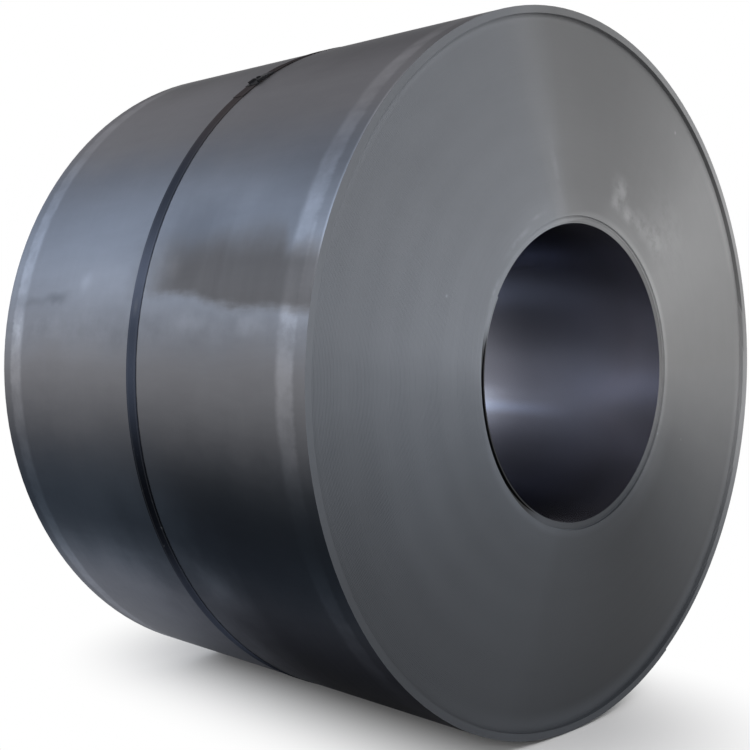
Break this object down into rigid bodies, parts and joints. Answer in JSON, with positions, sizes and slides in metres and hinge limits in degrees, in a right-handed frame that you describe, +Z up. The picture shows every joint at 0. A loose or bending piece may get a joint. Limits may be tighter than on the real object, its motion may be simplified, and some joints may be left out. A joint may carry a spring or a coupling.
{
  "type": "steel coil",
  "caption": "Wound coil of bare hot-rolled steel strip lying on its side, with an open bore, stepped turn edges on both ends and a crimped steel strap round its middle.",
  "frame": {"origin": "on the floor under the middle of the coil, at the lowest line of the strap", "axes": "+Y along the bore from the near end to the far end, +Z up, +X to the right when facing the near end"},
  "size_m": [1.4922, 1.0326, 1.4922],
  "materials": {
    "strip_steel": "bare rolled steel, dull blue-grey sheen, lighter burnished bands by the edges",
    "strap_steel": "black waxed steel strapping, satin",
    "seal_steel": "dark crimped sheet steel, satin"
  },
  "bodies": {
    "root": {"coil": "strip_steel", "strap": "strap_steel", "strap_seal": "seal_steel"}
  },
  "joints": []
}
